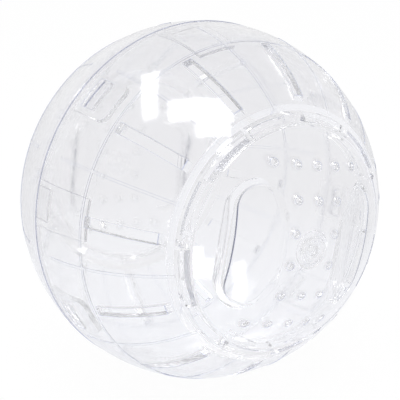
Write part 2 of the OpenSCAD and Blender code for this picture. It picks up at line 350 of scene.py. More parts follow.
SLOT_START = BAND_MIDDLE + SLOT_START_INSET
SLOT_END = LEDGE_H - SLOT_END_INSET
RIB_END_R = math.sqrt(BALL_R ** 2 - (EDGE_H - RIB_END_INSET) ** 2)

# Azimuths and angles in degrees round a half, seen with its pole towards the viewer
SLOT_AZIMUTHS = 21 + 30 * np.arange(12)
RIB_AZIMUTHS = 6 + 30 * np.arange(12)
TAB_AZIMUTHS = 113 + 60 * np.arange(6)
TAB_ANGLE = 29.0
STOP_ANGLE = 1.7
WINDOW_AZIMUTHS = 63 + 72 * np.arange(5)
PAD_AZIMUTHS = 27 + 72 * np.arange(5)
TURN_OVER = 81.0
LUG_CLEAR_ANGLE = 1.7
LUG_AZIMUTHS = TAB_AZIMUTHS + TAB_ANGLE + LUG_CLEAR_ANGLE
LUG_ANGLE = 27.6

# Widest angles between rows and between columns, the least angle kept between two azimuth lines that would
# otherwise cross, and what counts as nothing
ROW_STEP = 2.2
COLUMN_STEP = 2.0
LINE_GAP = 0.02
TINY = 1e-6


def spaced(lines, step):
    """A rising list of values with others put evenly between them, none further apart than a step."""
    parts = [np.linspace(a, b, max(1, math.ceil((b - a) / step)), endpoint=False)
             for a, b in zip(lines[:-1], lines[1:])]
    return np.concatenate(parts + [lines[-1:]])


def skin(places, plastic):
    """Faces round the filled cells of a block that is bent into a ring.

    places[i, j, k] is the corner where azimuth line i, row line j and layer line k meet, and the
    azimuth lines close on themselves. plastic[i, j, k] says whether the cell beyond that corner is
    filled. Each filled cell gets a face against each empty neighbour, pointing at the neighbour."""
    full = np.pad(plastic, 1)
    full[0], full[-1] = full[-2], full[1]
    steps = np.eye(3, dtype=int)
    quads = []
    for axis in range(3):
        one, two = steps[(axis + 1) % 3], steps[(axis + 2) % 3]
        near, far = [slice(1, -1)] * 3, [slice(1, -1)] * 3
        near[axis], far[axis] = slice(0, -1), slice(1, None)
        before, after = full[tuple(near)], full[tuple(far)]
        for here, beyond, turn in ((before, after, (0 * one, one, one + two, two)),
                                   (after, before, (0 * one, two, one + two, one))):
            cells = np.argwhere(here & ~beyond)
            if axis == 0:
                cells = cells[cells[:, 0] < len(plastic)]
            quads.append(cells[:, None] + np.array(turn))
    quads = np.concatenate(quads)
    quads[..., 0] %= len(plastic)
    number = np.ravel_multi_index(np.moveaxis(quads, -1, 0), places.shape[:3])
    used, number = np.unique(number, return_inverse=True)
    return places.reshape(-1, 3)[used], number.reshape(-1, 4)


def polar(azimuth, radius, height):
    """Places at azimuths in degrees, distances from the axis and heights above the seam plane."""
    turn = np.radians(azimuth)
    return np.stack(np.broadcast_arrays(radius * np.cos(turn), radius * np.sin(turn), height), axis=-1)


def to_front(places):
    """A half drawn with its pole on +Z, turned so that the pole faces -Y."""
    return np.stack((places[..., 0], -places[..., 2], places[..., 1]), axis=-1)


def to_rear(places):
    """A half drawn with its pole on +Z, turned over about the line at TURN_OVER, then to the rear."""
    line = np.array([math.cos(math.radians(TURN_OVER)), math.sin(math.radians(TURN_OVER)), 0.0])
    return to_front(2 * (places @ line)[..., None] * line - places)


# Half shells

# Layer lines of a half, from the inside out. In the wall they follow the tongues' inner face, the tongues'
# outer face or the pads, the inner wall, the lip or rebate, the middle of what is left, the outer wall and
# the beads. In the collar the first two follow its underside, and the others the inner wall's height where
# the collar starts, the ledge, the tabs' underside, the outer wall and the beads
DEEPEST, PAD, INNER, LIP, MIDDLE, OUTER, BEAD = range(7)
# Turns, in degrees, at which a catch tongue's rounded corner has a row
CORNER_TURNS = (90.0, 75.0, 55.0, 30.0, 0.0)
# A collar row's key is this less its distance from the axis, so that keys rise all the way up a half
KEY_TOP = 100.0


def rows_and_layers(rear):
    """Key of each row line, and the distance from the axis and the height of each row at each layer line.

    In the wall a row has one height, its key, and a layer has one distance d from the ball's centre, so
    r = sqrt(d^2 - h^2). In the collar a row has one distance from the axis and a layer one height, except
    that the ball's faces keep h = sqrt(d^2 - r^2)."""
    if rear:
        corner = np.sin(np.radians(CORNER_TURNS)) * CATCH_ROUND
        heights = np.concatenate((-(CATCH_TONGUE_END - CATCH_ROUND) - corner,
                                  [-CATCH_END, -CATCH_START, -LIP_END, -CATCH_ROOT_END, HALF_GAP,
                                   LOCATOR_ROOT_END, RIM_BEAD_END, TONGUE_ROOT, RIB_START]))
        layers = np.array([TONGUE_INNER_R, TONGUE_R, INNER_R, LIP_R, MIDDLE_R, BALL_R, BAND_R])
    else:
        heights = np.array([HALF_GAP, REBATE_END, WINDOW_START, NOTCH_END, RIB_START, WINDOW_END])
        layers = np.array([TONGUE_INNER_R, PAD_R, INNER_R, REBATE_R, MIDDLE_R, BALL_R, BAND_R])
    heights = np.concatenate((heights, [BAND_START, BAND_MIDDLE, BAND_END, SLOT_START, SLOT_END]))
    heights = BALL_R * np.sin(np.radians(spaced(np.degrees(np.arcsin(heights / BALL_R)), ROW_STEP)))
    layer_r = np.tile(layers, (len(heights), 1))
    if rear:
        layer_r[heights < RIM_BEAD_END + TINY, BEAD] = RIM_BEAD_R
    wall_r = np.sqrt(layer_r ** 2 - heights[:, None] ** 2)
    if rear:
        on_catch = (heights < -CATCH_START + TINY) & (heights > -CATCH_END - TINY)
        wall_r[on_catch, INNER] = CATCH_R

    # Where the collar is solid up to the outer wall, the ledge's and the tabs' lines share out its height
    radii = np.array([COLLAR_R, RIB_END_R, RECESS_R, TAB_R, DOORWAY_R])
    solid = radii > RECESS_R + TINY
    inner_h = math.sqrt(INNER_R ** 2 - COLLAR_R ** 2)
    outer_h, bead_h = np.sqrt(BALL_R ** 2 - radii ** 2), np.sqrt(BAND_R ** 2 - radii ** 2)
    ledge_h = np.where(solid, inner_h + (outer_h - inner_h) / 3, LEDGE_H)
    tab_h = np.where(solid, inner_h + (outer_h - inner_h) * 2 / 3, TAB_H)
    collar_h = np.broadcast_arrays(COLLAR_H, COLLAR_H, inner_h, ledge_h, tab_h, outer_h, bead_h)

    keys = np.concatenate((heights, KEY_TOP - radii))
    r = np.concatenate((wall_r, np.tile(radii[:, None], len(layers))))
    h = np.concatenate((np.tile(heights[:, None], len(layers)), np.stack(collar_h, axis=-1)))
    return keys, r, h


def azimuth_lines(features, keys, r):
    """Azimuth of each column line at each row and layer, and the columns that each feature takes up.

    A feature has azimuths, a first and a last row key, and half angles. Each of its azimuths gets two
    lines, azimuth - half angle and azimuth + half angle, which are exact between its keys and only keep
    clear of their neighbours elsewhere. Lines that fall together are drawn once, and others are put between
    at even shares of each gap."""
    exact, needed = [], []
    for azimuths, first, last, half_angles in features.values():
        for azimuth in azimuths:
            for side in (-1, 1):
                exact.append(np.broadcast_to(azimuth + side * np.array(half_angles), r.shape))
                needed.append((keys > first - TINY) & (keys < last + TINY))
    nominal = np.array([line[rows].mean() for line, rows in zip(exact, needed)])
    whole_turns = 360 * np.floor(nominal / 360)
    order = np.argsort(nominal - whole_turns, kind="stable")
    exact = (np.array(exact) - whole_turns[:, None, None])[order]
    nominal, needed = (nominal - whole_turns)[order], np.array(needed)[order]
    fresh = np.append(True, np.diff(nominal) > TINY)
    line_of = np.empty(len(order), dtype=int)
    line_of[order] = np.cumsum(fresh) - 1
    exact, nominal, needed = exact[fresh], nominal[fresh], needed[fresh]

    # Lines in order round the ball
    azimuth = np.where(needed[:, :, None], exact, nominal[:, None, None])
    for i in range(1, len(azimuth)):
        free = ~needed[i]
        azimuth[i][free] = np.maximum(azimuth[i][free], azimuth[i - 1][free] + LINE_GAP)
    for i in range(len(azimuth) - 2, -1, -1):
        free = ~needed[i]
        azimuth[i][free] = np.minimum(azimuth[i][free], azimuth[i + 1][free] - LINE_GAP)

    # Lines put between
    counts = np.ceil(np.diff(np.append(nominal, nominal[0] + 360)) / COLUMN_STEP).astype(int)
    starts = np.concatenate(([0], np.cumsum(counts)))
    which = np.repeat(np.arange(len(counts)), counts)
    share = (np.arange(len(which)) - starts[which]) / counts[which]
    closed = np.concatenate((azimuth, azimuth[:1] + 360))
    azimuth = closed[which] + share[:, None, None] * (closed[which + 1] - closed[which])

    # Columns between each pair of lines, then those of each feature
    begin, end = starts[line_of].reshape(-1, 2, 1).transpose(1, 0, 2)
    columns = len(azimuth)
    between = (np.arange(columns) - begin) % columns < (end - begin) % columns
    ends = np.cumsum([len(azimuths) for azimuths, *_ in features.values()])
    taken = [part.any(axis=0) for part in np.split(between, ends[:-1])]
    return azimuth, dict(zip(features, taken))


def half_shell(rear):
    """One half of the ball, as a ring of cells between azimuth, row and layer lines.

    Masks fill the cells of the wall, beads, ribs, pads, lip, tongues, ledge and tabs, and empty those of
    the slots, windows and rebate."""
    keys, r, h = rows_and_layers(rear)
    collar, rib_end, recess, tab_edge, doorway = keys[-5:]

    def straight(half):
        """Half angles of a feature with a half width, in all rows or row by row: asin(half / r)."""
        return np.degrees(np.arcsin(np.reshape(half, (-1, 1)) / r))

    def round_wall(half):
        """Half angle of a feature with a half width on the inner wall and sides that face the axis."""
        return math.degrees(math.asin(half / INNER_R))

    features = {
        "slots": (SLOT_AZIMUTHS, SLOT_START, SLOT_END, straight(SLOT_HALF)),
        "ribs": (RIB_AZIMUTHS, RIB_START, rib_end, straight(RIB_HALF)),
        "tabs": (TAB_AZIMUTHS + TAB_ANGLE / 2, recess, tab_edge, TAB_ANGLE / 2),
        "stops": (TAB_AZIMUTHS + STOP_ANGLE / 2, recess, tab_edge, STOP_ANGLE / 2)}
    if rear:
        past = np.clip(-keys - (CATCH_TONGUE_END - CATCH_ROUND), 0, CATCH_ROUND)
        rounded = CATCH_TONGUE_HALF - CATCH_ROUND + np.sqrt(CATCH_ROUND ** 2 - past ** 2)
        catches, pads = 2 * TURN_OVER - WINDOW_AZIMUTHS, 2 * TURN_OVER - PAD_AZIMUTHS
        features["catch_tongues"] = (catches, -CATCH_TONGUE_END, TONGUE_ROOT, straight(rounded))
        features["catches"] = (catches, -CATCH_END, -CATCH_START, straight(CATCH_HALF))
        features["locators"] = (pads, -LOCATOR_END, TONGUE_ROOT, straight(LOCATOR_HALF))
        features["lip_gaps"] = (pads, -LIP_END, HALF_GAP, round_wall(PAD_GAP_HALF))
    else:
        features["pads"] = (PAD_AZIMUTHS, HALF_GAP, BAND_MIDDLE, round_wall(PAD_HALF))
        features["notches"] = (PAD_AZIMUTHS, HALF_GAP, NOTCH_END, round_wall(NOTCH_HALF))
        features["windows"] = (WINDOW_AZIMUTHS, WINDOW_START, WINDOW_END, round_wall(WINDOW_HALF))
    azimuth, taken = azimuth_lines(features, keys, r)
    taken["all"] = np.ones(len(azimuth), dtype=bool)

    def cells(name, first, last, inner, outer):
        """Cells in a feature's columns, between two row keys and between two layer lines."""
        rows = (keys[:-1] > first - TINY) & (keys[1:] < last + TINY)
        layer = np.arange(BEAD)
        return taken[name][:, None, None] & rows[:, None] & (layer >= inner) & (layer < outer)

    plastic = cells("all", HALF_GAP, collar, INNER, OUTER)
    plastic |= cells("all", BAND_START, BAND_END, OUTER, BEAD)
    plastic |= cells("ribs", RIB_START, rib_end, OUTER, BEAD)
    plastic |= cells("all", collar, recess, PAD, OUTER)
    plastic |= cells("all", recess, doorway, PAD, LIP)
    plastic |= cells("tabs", recess, tab_edge, MIDDLE, OUTER)
    plastic |= cells("stops", recess, tab_edge, LIP, OUTER)
    if rear:
        plastic |= cells("all", HALF_GAP, RIM_BEAD_END, OUTER, BEAD)
        gaps = cells("lip_gaps", -LIP_END, HALF_GAP, INNER, LIP)
        plastic |= cells("all", -LIP_END, HALF_GAP, INNER, LIP) & ~gaps
        plastic |= cells("catch_tongues", -CATCH_TONGUE_END, TONGUE_ROOT, DEEPEST, PAD)
        plastic |= cells("catch_tongues", -CATCH_ROOT_END, TONGUE_ROOT, PAD, INNER)
        plastic |= cells("catches", -CATCH_END, -CATCH_START, PAD, INNER)
        plastic |= cells("locators", -LOCATOR_END, TONGUE_ROOT, DEEPEST, PAD)
        plastic |= cells("locators", LOCATOR_ROOT_END, TONGUE_ROOT, PAD, INNER)
    else:
        notches = cells("notches", HALF_GAP, NOTCH_END, PAD, INNER)
        plastic |= cells("pads", HALF_GAP, BAND_MIDDLE, PAD, INNER) & ~notches
        backed = cells("pads", HALF_GAP, REBATE_END, INNER, LIP)
        plastic &= ~cells("all", HALF_GAP, REBATE_END, INNER, LIP) | backed
        plastic &= ~cells("windows", WINDOW_START, WINDOW_END, DEEPEST, BEAD)
    plastic &= ~cells("slots", SLOT_START, SLOT_END, DEEPEST, BEAD)
    spots, faces = skin(polar(azimuth, r, h), plastic)
    return spots, [faces]


# Doors

# Azimuth, in degrees, to which the pattern of wells and holes is turned
PATTERN_TURN = -11.0
# Finger wells: half width, half of the straight sides' length and distance from the axis, the depth of the
# floor under the ball's surface at the inner and the outer end, and the floor's thickness
WELL_HALF = 8.3
WELL_HALF_STRAIGHT = 12.2
WELL_OFFSET = 20.5
WELL_INNER_DEPTH = 1.0
WELL_OUTER_DEPTH = 6.0
WELL_FLOOR_THICKNESS = 1.6
WELL_INNER_X = WELL_OFFSET - WELL_HALF
WELL_OUTER_X = WELL_OFFSET + WELL_HALF
WELL_INNER_H = math.sqrt(BALL_R ** 2 - WELL_INNER_X ** 2) - WELL_INNER_DEPTH
WELL_OUTER_H = math.sqrt(BALL_R ** 2 - WELL_OUTER_X ** 2) - WELL_OUTER_DEPTH
WELL_SLOPE = (WELL_OUTER_H - WELL_INNER_H) / (2 * WELL_HALF)
WELL_FLOOR_DROP = WELL_FLOOR_THICKNESS * math.hypot(1.0, WELL_SLOPE)
# Width in plan that a well's wall takes up, how far the well stands further out on the inner face, and the
# height over which its floor rounds into the dome
WELL_WALL_WIDTH = 1.0
WELL_GROW = 1.5
WELL_BLEND = 0.3
# The door's dome lies a hair under the ball's surface, inside the construction's box in single precision
DOME_R = BALL_R - 0.0002
HOLE_R = 1.4
HOLE_PITCH = 8.65
# Rows of air holes on each side of the middle: distance from it, and the places along the row in pitches
HOLE_ROWS = ((5.5, (-1, 1)), (16.6, (-1, 0, 1)), (27.9, (-2, -1, 0, 1, 2)))
HOLES = np.array([(place * HOLE_PITCH, side * row) for side in (-1, 1)
                  for row, places in HOLE_ROWS for place in places])
SEAT_R = 4.8
SEAT_H = 68.35
STEM_HOLE_R = 3.05
BOSS_R = 6.5
BOSS_H = 67.05
BOSS_STEP = 0.6
RIM_ROUND = 0.5
# Painted shade lines along a well: distances from its outline between which the soft one, along the foot of
# its wall, and the strong one, along the wall's upper edge, grow to their full share and end, and the depth
# of the well at which they have it. The air holes have a faint painted shade line along their lower edge
WELL_SHADE_LINES = (-1.25, -1.0, -0.62, -0.5, 0.43, 0.5, 0.85, 1.05)
WELL_SHADE_LINE_SHARES = (0, 0.4, 0.4, 0, 0, 1, 1, 0)
FULL_SHADE_LINE_DEPTH = 5.0
HOLE_SHADE_LINE = 0.15
# Points round a hole, round the boss, and along a half circle and a side of a well's outline
HOLE_POINTS = 24
BOSS_POINTS = 48
ARC_POINTS = 31
SIDE_POINTS = 15
# Shares of their width at which the step of a well's wall and that of the boss have a loop of points, and the
# turns, in degrees, at which the rounded rim has one
WALL_SHARES = np.array([0, 0.015, 0.035, 0.07, 0.13, 0.22, 0.36, 0.5,
                        0.64, 0.78, 0.87, 0.93, 0.965, 0.985, 1])
BOSS_SHARES = (0, 0.1, 0.25, 0.5, 0.75, 0.9, 1)
RIM_TURNS = (90, 75, 60, 45, 30, 15, 0)
# Field of points between the loops: their spacing, how much wider apart its rows are, and how clear it stays
# of the rim, of the boss and of the holes and wells
FIELD_SPACING = 1.7
FIELD_STRETCH = 1.15
RIM_CLEARANCE = 0.8
BOSS_CLEARANCE = 0.7
LOOP_CLEARANCE = 0.6
# A triangle lies in an opening if its middle is nearer than this share of the opening's radius
IN_HOLE = 0.99
IN_BOSS = 0.996
# Distances that count as nothing, between places and in a plan's triangulation
SAME_PLACE = 1e-3
SAME_IN_PLAN = 1e-7


def well_distance(x, y):
    """Distance from a finger well's outline in plan, below zero inside it. The outline is an obround."""
    return np.hypot(np.abs(x) - WELL_OFFSET, np.maximum(np.abs(y) - WELL_HALF_STRAIGHT, 0)) - WELL_HALF


def well_floor(x):
    """Height of the sloping floor of a finger well's outer face, a straight line over the distance |x|."""
    return WELL_INNER_H + (np.abs(x) - WELL_INNER_X) * WELL_SLOPE


def dome_height(x, y, radius, grow, drop):
    """Height of the door's outer or inner face: a ball's surface less the depth d of the wells.

    A well's depth is down to its sloping floor and never below zero, with the corner between rounded by
    (blend - |d|)^2 / (4 blend). An S-shaped step in the distance from its outline, 3t^2 - 2t^3, takes it
    from nothing to all of that across the width of its wall."""
    ball = np.sqrt(radius ** 2 - x ** 2 - y ** 2)
    depth = ball - (well_floor(x) - drop)
    depth = np.maximum(depth, 0) + np.maximum(WELL_BLEND - np.abs(depth), 0) ** 2 / (4 * WELL_BLEND)
    t = np.clip(0.5 - (well_distance(x, y) - grow) / WELL_WALL_WIDTH, 0, 1)
    return ball - depth * t * t * (3 - 2 * t)


def outer_height(x, y):
    """Height of the outer face, rounded over towards the rim along a quarter circle."""
    over = np.clip((np.hypot(x, y) - (RIM_R - RIM_ROUND)) / RIM_ROUND, 0, 1)
    face = dome_height(x, y, DOME_R, 0.0, 0.0)
    return face - RIM_ROUND * (1 - np.sqrt(1 - over ** 2))


def inner_height(x, y):
    """Height of the inner face, with an S-shaped step up to a flat boss round the bush."""
    boss = np.clip((BOSS_R + BOSS_STEP / 2 - np.hypot(x, y)) / BOSS_STEP, 0, 1)
    face = dome_height(x, y, INNER_R, WELL_GROW, WELL_FLOOR_DROP)
    return face + (BOSS_H - face) * boss * boss * (3 - 2 * boss)


def ring(x, y, radius, count):
    """Points evenly round a circle, in plan."""
    turn = 2 * np.pi * np.arange(count) / count
    return np.stack((x + radius * np.cos(turn), y + radius * np.sin(turn)), axis=-1)


def obround(grow, side):
    """Points round a finger well's outline moved out by a distance: half circle, side, half circle, side."""
    turn = np.radians(np.concatenate((np.linspace(0, 180, ARC_POINTS), np.linspace(180, 360, ARC_POINTS))))
    up = np.repeat([1.0, -1.0], ARC_POINTS)
    r = WELL_HALF + grow
    arcs = np.stack((WELL_OFFSET + r * np.cos(turn), up * WELL_HALF_STRAIGHT + r * np.sin(turn)), axis=-1)
    upper, lower = arcs[:ARC_POINTS], arcs[ARC_POINTS:]
    share = (np.arange(1, SIDE_POINTS + 1) / (SIDE_POINTS + 1))[:, None]
    down = upper[-1] + share * (lower[0] - upper[-1])
    back = lower[-1] + share * (upper[0] - lower[-1])
    return side * np.concatenate((upper, down, lower, back))


def pattern_turned(places):
    """A door drawn with its pattern upright, turned about the axis to the pattern's angle."""
    a = math.radians(PATTERN_TURN)
    return places @ np.array([[math.cos(a), math.sin(a), 0], [-math.sin(a), math.cos(a), 0], [0, 0, 1]])


def plan(loops, opening, limit, start, band):
    """Triangles in plan between closed loops, with a field of points in rows between them.

    The field fills the ring from start to limit, outside the holes and outside the band of distances from
    the wells' outlines. Triangles in the holes and within the opening round the axis are left out."""
    steps = np.arange(-limit, limit, FIELD_SPACING)
    x, y = np.meshgrid(steps, steps * math.sqrt(3) / 2 * FIELD_STRETCH)
    x = x + (np.arange(len(steps)) % 2)[:, None] * FIELD_SPACING / 2
    field = np.stack((x.ravel(), y.ravel()), axis=-1)
    r = np.hypot(field[:, 0], field[:, 1])
    d = well_distance(field[:, 0], field[:, 1])
    off_holes = np.linalg.norm(field[:, None] - HOLES, axis=2).min(axis=1)
    keep = (r < limit - RIM_CLEARANCE) & (r > start + BOSS_CLEARANCE) & (off_holes > HOLE_R + LOOP_CLEARANCE)
    keep &= (d < band[0] - LOOP_CLEARANCE) | (d > band[1] + LOOP_CLEARANCE)
    points = np.concatenate(loops + [field[keep]])
    edges, first = [], 0
    for loop in loops:
        number = first + np.arange(len(loop))
        edges.append(np.stack((number, np.roll(number, -1)), axis=-1))
        first += len(loop)
    edges = np.concatenate(edges)
    # The triangulation keeps the points' order but rounds its own copy of them, so only its faces are used
    faces = np.array(delaunay_2d_cdt(points.tolist(), edges.tolist(), [], 0, SAME_IN_PLAN)[2])
    middle = points[faces].mean(axis=1)
    in_hole = np.linalg.norm(middle[:, None] - HOLES, axis=2).min(axis=1) < HOLE_R * IN_HOLE
    return points, faces[~in_hole & (np.hypot(*middle.T) > opening * IN_BOSS)]


def wall_between(low, high):
    """Quads between two loops with equal counts, pointing at the loops' middle if they run anticlockwise."""
    n = len(low)
    i, j = np.arange(n), np.roll(np.arange(n), -1)
    return np.concatenate((low, high)), np.stack((i, n + i, n + j, j), axis=-1)


def with_height(points, height):
    """Points in plan with a height, or a height for each, added."""
    return np.concatenate((points, np.broadcast_to(height, len(points))[:, None]), axis=1)


def door_shade_lines(places):
    """Strength of the painted shade lines on a door, along the wells on its outer face and the holes' lower
    edge.

    A well's lines grow with the square of its depth."""
    x, y, height = places.T
    depth = np.clip((np.sqrt(BALL_R ** 2 - x ** 2 - y ** 2) - well_floor(x)) / FULL_SHADE_LINE_DEPTH, 0, 1)
    line = np.interp(well_distance(x, y), WELL_SHADE_LINES, WELL_SHADE_LINE_SHARES) * depth ** 2
    line = line * (np.abs(height - outer_height(x, y)) < SAME_PLACE)
    off_hole = np.abs(np.linalg.norm(places[:, None, :2] - HOLES, axis=2) - HOLE_R).min(axis=1)
    low = (off_hole < SAME_PLACE) & (np.abs(height - inner_height(x, y)) < SAME_PLACE)
    return np.where(low, HOLE_SHADE_LINE, line)


def door_faces(rim):
    """Outer and inner face of a door over the plan, joined at the holes and at the bush's seat.

    rim holds the directions of the points round the rim."""
    holes = [ring(x, y, HOLE_R, HOLE_POINTS) for x, y in HOLES]
    stem, seat = ring(0, 0, STEM_HOLE_R, BOSS_POINTS), ring(0, 0, SEAT_R, BOSS_POINTS)
    # The outer face also has loops of points along the painted shade lines
    wall, lines = WELL_WALL_WIDTH * (0.5 - WALL_SHARES), np.array(WELL_SHADE_LINES[::-1])
    outer_wall = np.concatenate((lines[lines > wall[0]], wall, lines[lines < wall[-1]]))
    inner_wall = WELL_GROW + wall

    rounding = RIM_R - RIM_ROUND * (1 - np.sin(np.radians(RIM_TURNS)))
    loops = holes + [seat] + [rim * r for r in rounding]
    loops += [obround(d, side) for d in outer_wall for side in (-1, 1)]
    spots, faces = plan(loops, SEAT_R, RIM_R - RIM_ROUND, SEAT_R, (outer_wall[-1], outer_wall[0]))
    parts = [(with_height(spots, outer_height(*spots.T)), faces)]

    boss = [ring(0, 0, BOSS_R + BOSS_STEP / 2 - BOSS_STEP * share, BOSS_POINTS) for share in BOSS_SHARES]
    loops = holes + [stem, rim * SKIRT_R] + boss
    loops += [obround(d, side) for d in inner_wall for side in (-1, 1)]
    spots, faces = plan(loops, STEM_HOLE_R, SKIRT_R, BOSS_R + BOSS_STEP / 2, (inner_wall[-1], inner_wall[0]))
    parts.append((with_height(spots, inner_height(*spots.T)), faces[:, ::-1]))

    for hole in holes:
        parts.append(wall_between(with_height(hole, inner_height(*hole.T)),
                                  with_height(hole, outer_height(*hole.T))))
    levels = [with_height(stem, BOSS_H), with_height(stem, SEAT_H), with_height(seat, SEAT_H),
              with_height(seat, outer_height(*seat.T))]
    return parts + [wall_between(low, high) for low, high in zip(levels[:-1], levels[1:])]


def door_rim(azimuths):
    """Rim of a door with its lugs, as a ring of cells. Its top is left open for the two faces.

    Its rows are distances from the axis, going in, and its layers are heights: the lugs' underside, their
    top and the outer or inner face. Nothing is filled over a lug."""
    outer_top, inner_top = outer_height(RIM_R, 0.0), math.sqrt(INNER_R ** 2 - SKIRT_R ** 2)
    r = np.array([LUG_R, RIM_R, SKIRT_R])[:, None] * np.ones(3)
    h = np.array([[LUG_H, LUG_TOP_H, top] for top in (outer_top, outer_top, inner_top)])
    places = polar((azimuths - PATTERN_TURN)[:, None, None], r, h)
    middle = azimuths + np.diff(np.append(azimuths, azimuths[0] + 360)) / 2
    plastic = np.zeros((len(azimuths), 2, 2), dtype=bool)
    plastic[:, 1, :] = True
    plastic[:, 0, 0] = ((middle[:, None] - LUG_AZIMUTHS) % 360 < LUG_ANGLE).any(axis=1)
    spots, faces = skin(places, plastic)
    top = np.where(np.hypot(spots[:, 0], spots[:, 1]) > (RIM_R + SKIRT_R) / 2, outer_top, inner_top)
    at_top = np.flatnonzero(np.abs(spots[:, 2] - top) < TINY)
    return spots, faces[~np.isin(faces, at_top).all(axis=1)]


def door():
    """Domed door with two finger wells, twenty air holes, a seat for the bush and a rim with six lugs."""
    azimuths = spaced(np.sort(np.concatenate((LUG_AZIMUTHS, LUG_AZIMUTHS + LUG_ANGLE))), COLUMN_STEP)
    closing = spaced(np.array([azimuths[-1], azimuths[0] + 360]), COLUMN_STEP)
    azimuths = np.concatenate((azimuths[:-1], closing[:-1]))
    turn = np.radians(azimuths - PATTERN_TURN)
    parts = door_faces(np.stack((np.cos(turn), np.sin(turn)), axis=-1)) + [door_rim(azimuths)]
    firsts = np.cumsum([0] + [len(spots) for spots, _ in parts])
    return (np.concatenate([spots for spots, _ in parts]),
            [faces + first for (_, faces), first in zip(parts, firsts)])


# Bushes

BORE_R = 2
BUSH_FLANGE_R = 3.8
BUSH_STEM_R = 3
BUSH_HEAD_R = 4.5
BUSH_FLANGE_H = 65.9
BUSH_STEM_H = 66.9
BUSH_HEAD_H = 68.5
BUSH_TOP_H = 69.7
BUSH_POINTS = 64


def turned_profile(profile, count):
    """A closed profile of (distance from the axis, height) carried round the axis."""
    profile = np.array(profile)
    azimuths = 360 * np.arange(count) / count
    spots = polar(azimuths[:, None], profile[:, 0], profile[:, 1])
    n = len(profile)
    i, j = np.meshgrid(np.arange(count), np.arange(n), indexing="ij")
    a, b = (i + 1) % count, (j + 1) % n
    faces = np.stack((i * n + j, a * n + j, a * n + b, i * n + b), axis=-1).reshape(-1, 4)
    return spots.reshape(-1, 3), [faces]


def bush():
    """Bush: head, stem and inner flange round a bore, as one turned profile."""
    return turned_profile([(BORE_R, BUSH_FLANGE_H), (BUSH_FLANGE_R, BUSH_FLANGE_H),
                           (BUSH_FLANGE_R, BUSH_STEM_H), (BUSH_STEM_R, BUSH_STEM_H),
                           (BUSH_STEM_R, BUSH_HEAD_H), (BUSH_HEAD_R, BUSH_HEAD_H),
                           (BUSH_HEAD_R, BUSH_TOP_H), (BORE_R, BUSH_TOP_H)], BUSH_POINTS)


# Meshes

SHARP_ANGLE = math.radians(28)
# Step for the slope of a face, and the least cosine between a face's flat normal and the true one of a ball
# or of a dome for the true one to be used
SLOPE_STEP = 0.004
BALL_LIKENESS = 0.99
DOME_LIKENESS = 0.8


def slope_normals(height, places):
    """Unit normals of a face given as a height over the plan: along (-dz/dx, -dz/dy, 1)."""
    x, y = places[:, 0], places[:, 1]
    across = (height(x + SLOPE_STEP, y) - height(x - SLOPE_STEP, y)) / (2 * SLOPE_STEP)
    along = (height(x, y + SLOPE_STEP) - height(x, y - SLOPE_STEP)) / (2 * SLOPE_STEP)
    normals = np.stack((-across, -along, np.ones(len(x))), axis=-1)
    return normals / np.linalg.norm(normals, axis=1)[:, None]


def true_normals(mesh, heights):
    """Places and corner normals, smooth up to the sharp edges, and exact on a ball's faces and on the domes.

    On a face whose corners are all as far from the ball's centre the normal is p / |p|. On a face whose
    corners all have a dome's height, it is the normal of that height over the plan."""
    places, corners = np.empty(len(mesh.vertices) * 3), np.empty(len(mesh.loops) * 3)
    face_normals, vertex = np.empty(len(mesh.polygons) * 3), np.empty(len(mesh.loops), dtype=int)
    sizes = np.empty(len(mesh.polygons), dtype=int)
    mesh.vertices.foreach_get("co", places)
    mesh.corner_normals.foreach_get("vector", corners)
    mesh.polygons.foreach_get("normal", face_normals)
    mesh.loops.foreach_get("vertex_index", vertex)
    mesh.polygons.foreach_get("loop_total", sizes)
    places, corners, face_normals = (a.reshape(-1, 3) for a in (places, corners, face_normals))
    face_of = np.repeat(np.arange(len(sizes)), sizes)
    starts = np.cumsum(sizes) - sizes
    distance = np.linalg.norm(places, axis=1)
    uneven = np.maximum.reduceat(distance[vertex], starts) - np.minimum.reduceat(distance[vertex], starts)
    found = [((uneven < SAME_PLACE)[face_of], (places / distance[:, None])[vertex], BALL_LIKENESS)]
    for height in heights:
        off = np.abs(places[:, 2] - height(places[:, 0], places[:, 1]))
        on_dome = np.maximum.reduceat(off[vertex], starts) < SAME_PLACE
        found.append((on_dome[face_of], slope_normals(height, places)[vertex], DOME_LIKENESS))
    for chosen, normals, likeness in found:
        facing = (face_normals[face_of] * normals).sum(axis=1)
        chosen = chosen & (np.abs(facing) > likeness)
        corners[chosen] = (normals * np.sign(facing)[:, None])[chosen]
    return places, corners


def mesh_of(name, spots, faces):
    """Mesh of places and of arrays of faces, each with one count of corners, without doubled places."""
    sizes = np.concatenate([np.full(len(group), group.shape[1]) for group in faces])
    mesh = bpy.data.meshes.new(name)
    mesh.vertices.add(len(spots))
    mesh.vertices.foreach_set("co", spots.ravel())
    mesh.loops.add(int(sizes.sum()))
    mesh.loops.foreach_set("vertex_index", np.concatenate([group.ravel() for group in faces]))
    mesh.polygons.add(len(sizes))
    mesh.polygons.foreach_set("loop_start", np.cumsum(sizes) - sizes)
    mesh.update(calc_edges=True)
    work = bmesh.new()
    work.from_mesh(mesh)
    bmesh.ops.remove_doubles(work, verts=work.verts, dist=SAME_PLACE)
    work.to_mesh(mesh)
    work.free()
    return mesh


